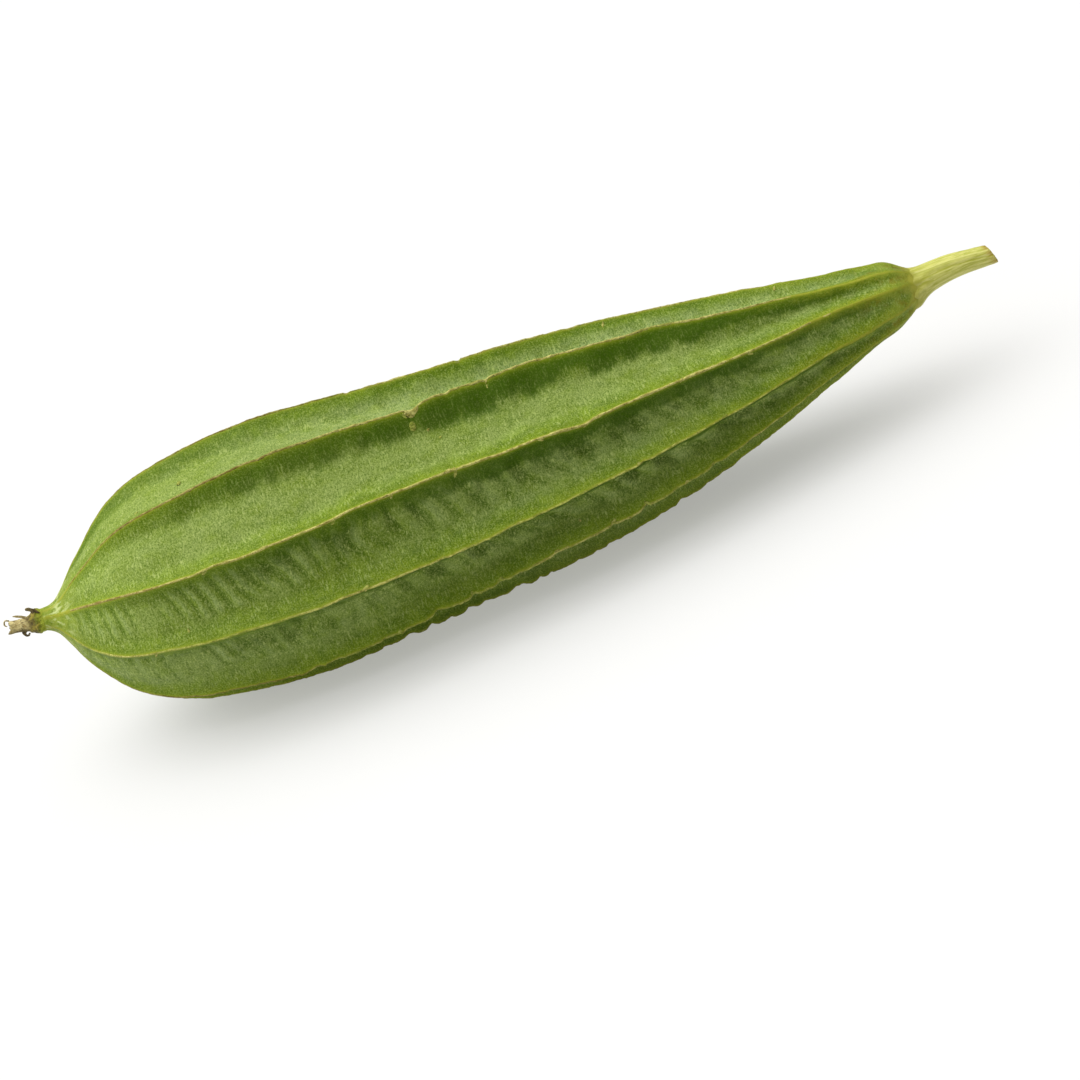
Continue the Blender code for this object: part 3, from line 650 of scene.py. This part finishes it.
def prongs():
    """Dried bits of the flower that stick out of the husk: a stub on top, a hook below, and scraps."""
    centre, _, along = (v[0] for v in frames(np.array([0.0])))
    routes = [
        # control points from the fruit's blossom face: back, side, up in mm, and radii
        ([(1.0, 0.6, 2.0), (1.7, 0.9, 2.9), (2.4, 1.0, 3.5), (3.2, 1.0, 3.7), (3.7, 0.9, 3.6)], [0.85, 0.75, 0.62, 0.5, 0.28]),
        ([(4.0, 0.8, -0.5), (4.4, 1.1, -1.3), (4.9, 1.2, -2.0), (4.6, 1.3, -2.7), (3.9, 1.3, -2.8), (3.6, 1.3, -2.3)], [0.62, 0.50, 0.42, 0.36, 0.30, 0.18]),
        ([(3.2, 0.9, 1.0), (4.6, 0.9, 1.9), (6.0, 0.8, 2.3), (6.9, 0.7, 2.4)], [0.50, 0.36, 0.26, 0.14]),
        ([(1.6, -1.9, -0.6), (2.3, -2.7, -0.9), (3.2, -3.0, -0.7), (3.9, -2.7, -0.5)], [0.80, 0.62, 0.40, 0.18]),
        ([(1.4, -0.6, -2.1), (2.2, -0.5, -2.8), (3.1, -0.4, -2.7), (3.6, -0.3, -2.3)], [0.8, 0.6, 0.42, 0.2]),
        ([(7.9, 0.9, 1.5), (8.7, 1.0, 1.75), (9.1, 0.9, 1.2), (9.0, 0.8, 0.4), (8.5, 0.8, 0.1)], [0.22, 0.2, 0.18, 0.17, 0.12]),
    ]
    up = np.array([-along[2], 0, along[0]])
    verts, faces, shade = [], [], []
    for number, (points, radii) in enumerate(routes):
        key = np.arange(len(points), dtype=float)
        t = np.linspace(0, len(points) - 1, 22)
        p = np.stack([smooth_open(key, [q[i] for q in points], t) for i in range(3)], -1)
        r = np.interp(t, key, radii)
        path = centre - p[:, :1] * along - p[:, 1:2] * np.array([0, 1.0, 0]) + p[:, 2:3] * up
        tangent = np.gradient(path, axis=0)
        tangent /= np.linalg.norm(tangent, axis=1)[:, None]
        one = np.cross(tangent, np.array([0.3, 1.0, 0.2]))
        one /= np.linalg.norm(one, axis=1)[:, None]
        two = np.cross(tangent, one)
        around = 14
        th = np.linspace(0, 2 * math.pi, around, endpoint=False)
        T, A = np.meshgrid(t, th, indexing="ij")
        R = r[:, None] * (1 + 0.35 * noise(T * 1.3, np.cos(A) * 1.6, np.sin(A) * 1.6 + number * 9, seed=91))
        flat = 0.62
        ring = path[:, None, :] + (R * np.cos(A))[..., None] * one[:, None, :] + (R * flat * np.sin(A))[..., None] * two[:, None, :]
        base = len(verts)
        verts += list(ring.reshape(-1, 3))
        grid = base + np.arange(22 * around).reshape(22, around)
        turned = np.roll(grid, -1, axis=1)
        faces += np.stack([grid[:-1], turned[:-1], turned[1:], grid[1:]], -1).reshape(-1, 4).tolist()
        faces += [grid[0][::-1].tolist(), grid[-1].tolist()]
        shade += [(0.15, 0.05, 0.8, 0.3, 0.3, 0.75)[number]] * (22 * around)
    made = mesh_object("flower_scraps", verts, faces)
    value(made.data, "pale", shade)
    return made


def smooth_open(x, y, at):
    """A Catmull-Rom curve through equally spaced values."""
    y = np.asarray(y, float)
    y = np.r_[2 * y[0] - y[1], y, 2 * y[-1] - y[-2]]
    i = np.clip(np.floor(at).astype(int), 0, len(x) - 2)
    t = at - i
    a, b, c, d = y[i], y[i + 1], y[i + 2], y[i + 3]
    return 0.5 * (2 * b + (c - a) * t + (2 * a - 5 * b + 4 * c - d) * t**2 + (3 * b - a - 3 * c + d) * t**3)


# ---------------------------------------------------------------- materials
class Paint:
    """A Principled material with short ways to add nodes to it."""

    def __init__(self, name):
        self.material = bpy.data.materials.new(name)
        self.material.use_nodes = True
        self.tree = self.material.node_tree
        self.shader = self.tree.nodes["Principled BSDF"]

    def put(self, socket, what):
        if isinstance(what, bpy.types.NodeSocket):
            self.tree.links.new(what, socket)
        elif isinstance(what, (tuple, list)) and len(what) == 3 and socket.type == "RGBA":
            socket.default_value = (*what, 1)
        else:
            socket.default_value = what

    def math(self, op, a, b=0.0, clamp=False):
        n = self.tree.nodes.new("ShaderNodeMath")
        n.operation, n.use_clamp = op, clamp
        self.put(n.inputs[0], a)
        self.put(n.inputs[1], b)
        return n.outputs[0]

    def range(self, x, low, high, to_low=0.0, to_high=1.0):
        n = self.tree.nodes.new("ShaderNodeMapRange")
        n.interpolation_type = "SMOOTHSTEP"
        for i, v in enumerate((x, low, high, to_low, to_high)):
            self.put(n.inputs[i], v)
        return n.outputs[0]

    def mix(self, factor, a, b, kind="MIX"):
        n = self.tree.nodes.new("ShaderNodeMix")
        n.data_type, n.blend_type = "RGBA", kind
        self.put(n.inputs["Factor"], factor)
        self.put(n.inputs[6], a)
        self.put(n.inputs[7], b)
        return n.outputs[2]

    def noise(self, where, scale, detail=2.0, rough=0.5, distort=0.0):
        n = self.tree.nodes.new("ShaderNodeTexNoise")
        self.put(n.inputs["Vector"], where)
        for key, v in (("Scale", scale), ("Detail", detail), ("Roughness", rough), ("Distortion", distort)):
            n.inputs[key].default_value = v
        return n.outputs["Fac"]

    def stretch(self, where, by):
        n = self.tree.nodes.new("ShaderNodeVectorMath")
        n.operation = "MULTIPLY"
        self.put(n.inputs[0], where)
        n.inputs[1].default_value = by
        return n.outputs[0]

    def attribute(self, name):
        n = self.tree.nodes.new("ShaderNodeAttribute")
        n.attribute_name = name
        return n.outputs["Fac"]

    def uv(self, name):
        n = self.tree.nodes.new("ShaderNodeUVMap")
        n.uv_map = name
        return n.outputs[0]

    def place(self):
        """Place on the object, in millimetres."""
        return self.stretch(self.tree.nodes.new("ShaderNodeTexCoord").outputs["Object"], (1000, 1000, 1000))

    def bump(self, height, distance, normal=None, strength=1.0):
        n = self.tree.nodes.new("ShaderNodeBump")
        n.inputs["Strength"].default_value = strength
        n.inputs["Distance"].default_value = distance
        self.put(n.inputs["Height"], height)
        if normal is not None:
            self.put(n.inputs["Normal"], normal)
        return n.outputs[0]

    def finish(self, colour, roughness, normal, **fixed):
        self.put(self.shader.inputs["Base Color"], colour)
        self.put(self.shader.inputs["Roughness"], roughness)
        self.put(self.shader.inputs["Normal"], normal)
        for key, v in fixed.items():
            self.put(self.shader.inputs[key.replace("_", " ")], v)
        return self.material


def srgb(r, g, b):
    return tuple(c / 12.92 if c <= 0.04045 else ((c + 0.055) / 1.055) ** 2.4 for c in (r / 255, g / 255, b / 255))


def rind_paint():
    p = Paint("rind")
    where, panel = p.place(), p.uv("panel")
    along, crest = p.attribute("along"), p.attribute("crest")
    fold, lump = p.attribute("fold"), p.attribute("lump")
    under, shade_band, wax_and_sheen = p.attribute("under"), p.attribute("shade_band"), p.attribute("wax_and_sheen")

    # the broad tone: a mottle of deep and mid green, lighter towards the blossom end
    broad = p.noise(where, 0.045, 3, 0.55)
    mottle = p.noise(p.stretch(where, (0.7, 1.0, 1.0)), 0.33, 4, 0.58)
    colour = p.mix(p.range(mottle, 0.36, 0.64), srgb(82, 106, 6), srgb(108, 131, 20))
    colour = p.mix(p.range(broad, 0.42, 0.66, 0.0, 0.40), colour, srgb(120, 138, 34))
    colour = p.mix(p.range(along, 95.0, 20.0, 0.0, 0.30), colour, srgb(124, 144, 50))

    # grey-green bloom in patches on the floors of the grooves, and a veil of it over all but the crests: partly the
    # skin's own bloom, partly painted sheen
    hollow = p.range(crest, 2.0, 5.5)
    bloom_and_sheen = p.math("MULTIPLY", hollow, p.range(p.noise(p.stretch(where, (0.5, 1, 1)), 0.20, 3, 0.6), 0.38, 0.62, 0.15, 0.80))
    colour = p.mix(bloom_and_sheen, colour, srgb(134, 152, 74))
    veil_and_sheen = p.math("MULTIPLY", p.range(crest, 0.8, 3.5), p.range(p.noise(where, 0.28, 3, 0.6), 0.34, 0.62, 0.35, 1.0))
    colour = p.mix(p.math("MULTIPLY", p.math("MULTIPLY", veil_and_sheen, wax_and_sheen), 0.65), colour, srgb(142, 158, 100))

    # painted light: a lighter yellow-green on the upper side of each ridge, where its slope faces up into the light
    patch = p.noise(where, 0.25, 3, 0.6)
    upper_side_light = p.math("MULTIPLY", p.range(crest, 2.8, 0.6, 0.0, 0.30), p.range(under, 0.4, 0.6))
    colour = p.mix(p.math("MULTIPLY", upper_side_light, p.range(patch, 0.36, 0.62, 0.25, 1.0)), colour, srgb(122, 136, 36))

    # painted sheen on the folds' backs, paler and strongest towards the blossom end; painted shade in the troughs
    # and dents, a deep green
    fold_sheen = p.math("MULTIPLY", p.range(fold, 0.15, 0.75), p.range(along, 75.0, 35.0, 0.38, 0.60))
    colour = p.mix(fold_sheen, colour, srgb(150, 166, 106))
    colour = p.mix(p.math("MULTIPLY", p.range(fold, -0.05, -0.55), 0.55), colour, srgb(62, 90, 2))
    colour = p.mix(p.range(lump, -0.10, -1.15, 0.0, 0.58), colour, srgb(50, 74, 0))

    # painted shade: a deep green band under each ridge, with a fingered lower edge, for the shade on the steep wall
    # below the ridge; partly the flank's own deeper green
    finger = p.noise(p.stretch(panel, (0.07, 0.14, 1.0)), 1.0, 4, 0.52, 0.2)
    reach = p.math("ADD", p.range(finger, 0.34, 0.66, 0.17, 0.34), p.range(along, 70.0, 130.0, 0.0, 0.035))
    band = p.range(p.math("SUBTRACT", reach, under), -0.05, 0.11)
    band = p.math("MULTIPLY", band, p.range(under, 0.01, 0.09, 0.45, 1.0))
    shade = p.math("MULTIPLY", band, shade_band)
    colour = p.mix(p.math("MULTIPLY", shade, 0.86), colour, srgb(48, 76, 0))
    lit = p.math("SUBTRACT", 1.0, p.math("MULTIPLY", shade, 0.70))

    # towards the stem the ridges are broad soft cords of a yellower green
    cord = p.math("MULTIPLY", p.range(crest, 2.3, 0.7), p.range(along, 172.0, 202.0, 0.0, 0.58))
    colour = p.mix(p.math("MULTIPLY", cord, p.range(patch, 0.34, 0.60, 0.5, 1.0)), colour, srgb(142, 150, 38))

    # pale and dark flecks, drawn out across the grooves; the pale ones, kept out of the painted shade, are partly
    # painted glints
    fleck = p.noise(p.stretch(panel, (0.72, 2.0, 1.0)), 1.0, 2, 0.50, 0.4)
    fleck2 = p.noise(p.stretch(panel, (1.1, 3.0, 1.0)), 1.0, 2, 0.5, 0.3)
    sparse = p.range(p.noise(where, 0.35, 2, 0.5), 0.36, 0.62, 0.35, 1.0)
    pale_flecks_and_glints = p.math("MULTIPLY", p.math("MULTIPLY", p.range(fleck, 0.52, 0.64), p.range(crest, 0.9, 2.4, 0.1, 1.0)), sparse)
    pale_flecks_and_glints = p.math("MULTIPLY", pale_flecks_and_glints, lit)
    colour = p.mix(p.math("MULTIPLY", pale_flecks_and_glints, 0.70), colour, srgb(164, 178, 102))
    colour = p.mix(p.math("MULTIPLY", p.range(fleck2, 0.50, 0.36), 0.55), colour, srgb(68, 97, 4))

    # fine grain; its pale specks, kept out of the painted shade, are partly painted glints
    grain = p.noise(where, 3.0, 2, 0.66)
    colour = p.mix(p.range(grain, 0.37, 0.50, 0.46, 0.0), colour, srgb(62, 90, 2))
    colour = p.mix(p.math("MULTIPLY", p.range(grain, 0.51, 0.64, 0.0, 0.44), lit), colour, srgb(162, 176, 96))

    # yellower right on the crests, and at both ends
    colour = p.mix(p.range(crest, 0.9, 0.2, 0.0, 0.5), colour, srgb(128, 142, 24))
    ends = p.math("MAXIMUM", p.range(along, 12.0, 1.5), p.range(along, 206.0, 219.0))
    wander = p.math("MULTIPLY", ends, p.range(p.noise(where, 0.6, 3, 0.6), 0.34, 0.60, 0.1, 0.8))
    colour = p.mix(wander, colour, srgb(138, 150, 56))
    # whitish streaks round the blossom neck: painted highlights
    pale = p.math("MULTIPLY", p.range(along, 9.0, 3.0), p.range(p.noise(p.stretch(panel, (0.9, 0.4, 1.0)), 1.0, 3, 0.6), 0.50, 0.62, 0.0, 0.8))
    colour = p.mix(pale, colour, srgb(186, 196, 132))
    foot = p.math("ADD", along, p.range(p.noise(where, 0.5, 3, 0.6), 0.3, 0.7, -1.2, 1.2))
    colour = p.mix(p.range(foot, 216.8, 220.6, 0.0, 0.95), colour, srgb(164, 162, 62))

    stain = p.math("MULTIPLY", p.range(along, 202.0, 212.0), p.range(p.noise(where, 0.33, 4, 0.62), 0.50, 0.66, 0.0, 0.55))
    colour = p.mix(stain, colour, srgb(122, 108, 22))

    # the ridge itself: an olive edge, broken along its length
    rub = p.noise(p.stretch(panel, (0.35, 0.75, 1.0)), 1.0, 4, 0.65)
    edge = p.math("MULTIPLY", p.range(crest, 0.50, 0.18), p.range(rub, 0.34, 0.60, 0.25, 0.95))
    colour = p.mix(edge, colour, srgb(146, 148, 48))

    height = p.math("ADD", p.math("MULTIPLY", grain, 0.7), p.math("MULTIPLY", pale_flecks_and_glints, 0.30))
    bump = p.bump(height, 0.00012, strength=0.9)
    pores = p.noise(where, 6.5, 1, 0.5)
    bump = p.bump(pores, 0.00005, bump, 0.8)
    rough = p.range(mottle, 0.3, 0.7, 0.44, 0.56)
    return p.finish(colour, rough, bump, Specular_IOR_Level=0.07)


def cork_paint():
    p = Paint("cork")
    where = p.place()
    tan, brown = p.attribute("tan"), p.attribute("brown")
    streak = p.noise(p.stretch(where, (0.8, 1.6, 1.6)), 0.9, 4, 0.62)
    green = p.mix(p.range(streak, 0.35, 0.65), srgb(122, 134, 42), srgb(168, 172, 82))
    dry = p.mix(p.range(streak, 0.32, 0.66), srgb(140, 132, 54), srgb(196, 190, 112))
    colour = p.mix(p.range(tan, 0.30, 0.95), green, dry)
    colour = p.mix(p.math("MULTIPLY", brown, p.range(streak, 0.30, 0.70, 0.9, 0.5)), colour, srgb(104, 82, 28))
    chips = p.noise(where, 2.8, 3, 0.6)
    colour = p.mix(p.range(chips, 0.48, 0.36, 0.0, 0.75), colour, srgb(86, 88, 26))
    bump = p.bump(chips, 0.00008, strength=0.9)
    return p.finish(colour, p.range(chips, 0.3, 0.7, 0.6, 0.8), bump, Specular_IOR_Level=0.2)


def stem_paint():
    p = Paint("stem_skin")
    where = p.place()
    along, cut, strand = p.attribute("along"), p.attribute("cut"), p.attribute("strand")
    streak = p.noise(p.stretch(where, (0.10, 2.0, 2.0)), 1.0, 4, 0.6)
    colour = p.mix(p.range(streak, 0.36, 0.64), srgb(166, 168, 62), srgb(200, 198, 110))
    colour = p.mix(p.range(strand, 0.1, 0.9, 0.0, 0.40), colour, srgb(208, 206, 134))
    colour = p.mix(p.range(strand, -0.2, -0.9, 0.0, 0.40), colour, srgb(140, 144, 38))
    blotch = p.noise(where, 0.6, 3, 0.6)
    colour = p.mix(p.range(blotch, 0.54, 0.74, 0.0, 0.30), colour, srgb(148, 158, 58))
    foot = p.range(p.math("ADD", along, p.range(p.noise(where, 0.5, 3, 0.6), 0.3, 0.7, -1.6, 1.6)), 3.6, -1.0)
    colour = p.mix(p.math("MULTIPLY", foot, 0.80), colour, srgb(160, 160, 60))
    dry = p.math("MULTIPLY", p.range(along, 17.2, 19.6), p.range(p.noise(p.stretch(where, (0.5, 1.5, 1.5)), 0.8, 3, 0.6), 0.36, 0.64, 0.15, 0.9))
    colour = p.mix(dry, colour, srgb(156, 128, 46))
    face = p.mix(p.range(p.noise(where, 1.6, 3, 0.6), 0.38, 0.62), srgb(140, 112, 44), srgb(190, 176, 96))
    colour = p.mix(p.range(cut, 0.2, 0.55), colour, face)
    height = p.math("ADD", streak, p.math("MULTIPLY", p.noise(where, 2.5, 2, 0.5), 0.4))
    bump = p.bump(height, 0.00007, strength=0.7)
    return p.finish(colour, p.range(streak, 0.3, 0.7, 0.42, 0.58), bump, Specular_IOR_Level=0.3)


def husk_paint():
    p = Paint("husk")
    where = p.place()
    along, inner, crease = p.attribute("along"), p.attribute("inner"), p.attribute("crease")
    mottle = p.noise(where, 0.75, 4, 0.62)
    tube = p.mix(p.range(mottle, 0.34, 0.58), srgb(150, 130, 74), srgb(202, 188, 130))
    # painted shade: the tube darker on its underside
    low = p.math("ADD", p.attribute("low"), p.range(mottle, 0.35, 0.65, -0.5, 0.5))
    tube = p.mix(p.range(low, -0.25, 0.75, 0.0, 0.75), tube, srgb(92, 78, 34))
    collar = p.mix(p.range(mottle, 0.38, 0.62), srgb(74, 64, 22), srgb(144, 132, 48))
    colour = p.mix(p.range(along, 2.6, 4.6), collar, tube)
    colour = p.mix(p.range(crease, 0.14, 0.0, 0.0, 0.75), colour, srgb(56, 42, 22))
    colour = p.mix(p.range(p.math("ADD", along, p.range(mottle, 0.35, 0.65, -0.5, 0.5)), 2.0, 0.3), colour, srgb(142, 152, 38))
    speck = p.noise(where, 2.4, 3, 0.6)
    colour = p.mix(p.math("MULTIPLY", p.range(speck, 0.60, 0.70, 0.0, 0.8), p.range(along, 5.0, 2.5, 0.35, 1.0)), colour, srgb(34, 26, 14))
    # painted shade: darker the deeper inside the open tube
    colour = p.mix(p.range(inner, 0.3, 0.9), colour, srgb(52, 40, 22))
    bump = p.bump(p.math("ADD", speck, mottle), 0.00016, strength=0.9)
    return p.finish(colour, p.range(mottle, 0.3, 0.7, 0.65, 0.85), bump, Specular_IOR_Level=0.3)


def scrap_paint():
    p = Paint("scraps")
    where = p.place()
    pale = p.attribute("pale")
    mottle = p.noise(where, 1.1, 4, 0.62)
    dark = p.mix(p.range(mottle, 0.36, 0.64), srgb(44, 34, 18), srgb(104, 88, 46))
    light = p.mix(p.range(mottle, 0.36, 0.64), srgb(130, 108, 60), srgb(196, 180, 124))
    colour = p.mix(pale, dark, light)
    return p.finish(colour, p.range(mottle, 0.3, 0.7, 0.6, 0.85), p.bump(mottle, 0.00012, strength=0.9), Specular_IOR_Level=0.3)


# ---------------------------------------------------------------- put it together
skin = rind()
skin.data.materials.append(rind_paint())
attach(skin, "root")
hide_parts("fruit")

cork = cork_paint()
lines = cork_lines()
lines.data.materials.append(cork)
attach(lines, "root")
flakes = scales()
flakes.data.materials.append(cork)
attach(flakes, "root")

pedicel = stem()
pedicel.data.materials.append(stem_paint())
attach(pedicel, "root")
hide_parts("stem")

husk = flower()
husk.data.materials.append(husk_paint())
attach(husk, "root")
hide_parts("dried_flower")
scraps = prongs()
scraps.data.materials.append(scrap_paint())
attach(scraps, "root")

# ---------------------------------------------------------------- floor, light, camera
ground = bpy.data.meshes.new("floor")
ground.from_pydata([(-5, -5, -0.0002), (5, -5, -0.0002), (5, 5, -0.0002), (-5, 5, -0.0002)], [], [(0, 1, 2, 3)])
floor = bpy.data.objects.new("floor", ground)
bpy.context.scene.collection.objects.link(floor)
pale = Paint("pale_floor")
tone = pale.noise(pale.place(), 0.004, 2, 0.5)
floor.data.materials.append(
    pale.finish(
        pale.mix(tone, (0.385, 0.385, 0.38), (0.40, 0.40, 0.395)), 0.7, pale.bump(tone, 0.0001, strength=0.05),
        Specular_IOR_Level=0.1, Emission_Color=(1.0, 0.99, 0.97), Emission_Strength=0.38,
    )
)

# a big soft light from above and from the blossom end's side, a smaller one from behind, and none
# from the front: each is a broad glow in the sky about one direction
world = bpy.data.worlds.new("studio")
bpy.context.scene.world = world
world.use_nodes = True
nodes, links = world.node_tree.nodes, world.node_tree.links
sky = nodes.new("ShaderNodeTexCoord").outputs["Generated"]
total = None
for towards, tight, power in (
    ((-0.70, 0.00, 0.70), 5.0, 3.6),
    ((0.00, 0.00, 1.00), 5.0, 2.4),
    ((0.00, 0.45, 0.90), 6.0, 1.1),
):
    dot = nodes.new("ShaderNodeVectorMath")
    dot.operation = "DOT_PRODUCT"
    links.new(sky, dot.inputs[0])
    dot.inputs[1].default_value = Vector(towards).normalized()
    chain = dot.outputs["Value"]
    for operation, number in (("MAXIMUM", 0.0), ("POWER", tight), ("MULTIPLY", power)):
        step = nodes.new("ShaderNodeMath")
        step.operation = operation
        links.new(chain, step.inputs[0])
        step.inputs[1].default_value = number
        chain = step.outputs[0]
    if total is None:
        total = chain
    else:
        plus = nodes.new("ShaderNodeMath")
        links.new(total, plus.inputs[0])
        links.new(chain, plus.inputs[1])
        total = plus.outputs[0]
links.new(total, nodes["Background"].inputs["Strength"])
nodes["Background"].inputs["Color"].default_value = (1.0, 1.0, 1.0, 1)

ELEVATION, ROLL, DISTANCE = math.radians(28.0), math.radians(23.5), 0.80
PIXELS_PER_MM = 4.24  # on a 1080-pixel frame, at the aim point
forward = Vector((0, math.cos(ELEVATION), -math.sin(ELEVATION)))
flat_right = Vector((1, 0, 0))
flat_up = flat_right.cross(forward)
right = flat_right * math.cos(ROLL) - flat_up * math.sin(ROLL)
up = flat_right * math.sin(ROLL) + flat_up * math.cos(ROLL)
aim = Vector((0, 0, 0.03)) + right * 0.00757 - up * 0.02090
data = bpy.data.cameras.new("camera")
data.sensor_width = 36.0
data.lens = 36.0 * PIXELS_PER_MM * DISTANCE * 1000 / 1080
data.clip_start, data.clip_end = 0.05, 20
camera = bpy.data.objects.new("camera", data)
place = aim - forward * DISTANCE
camera.matrix_world = Matrix((
    (right.x, up.x, -forward.x, place.x),
    (right.y, up.y, -forward.y, place.y),
    (right.z, up.z, -forward.z, place.z),
    (0, 0, 0, 1),
))
bpy.context.scene.collection.objects.link(camera)
bpy.context.scene.camera = camera

view = bpy.context.scene.view_settings
view.view_transform = "Standard"
view.look = "None"
view.exposure = 0.0
view.gamma = 1.0
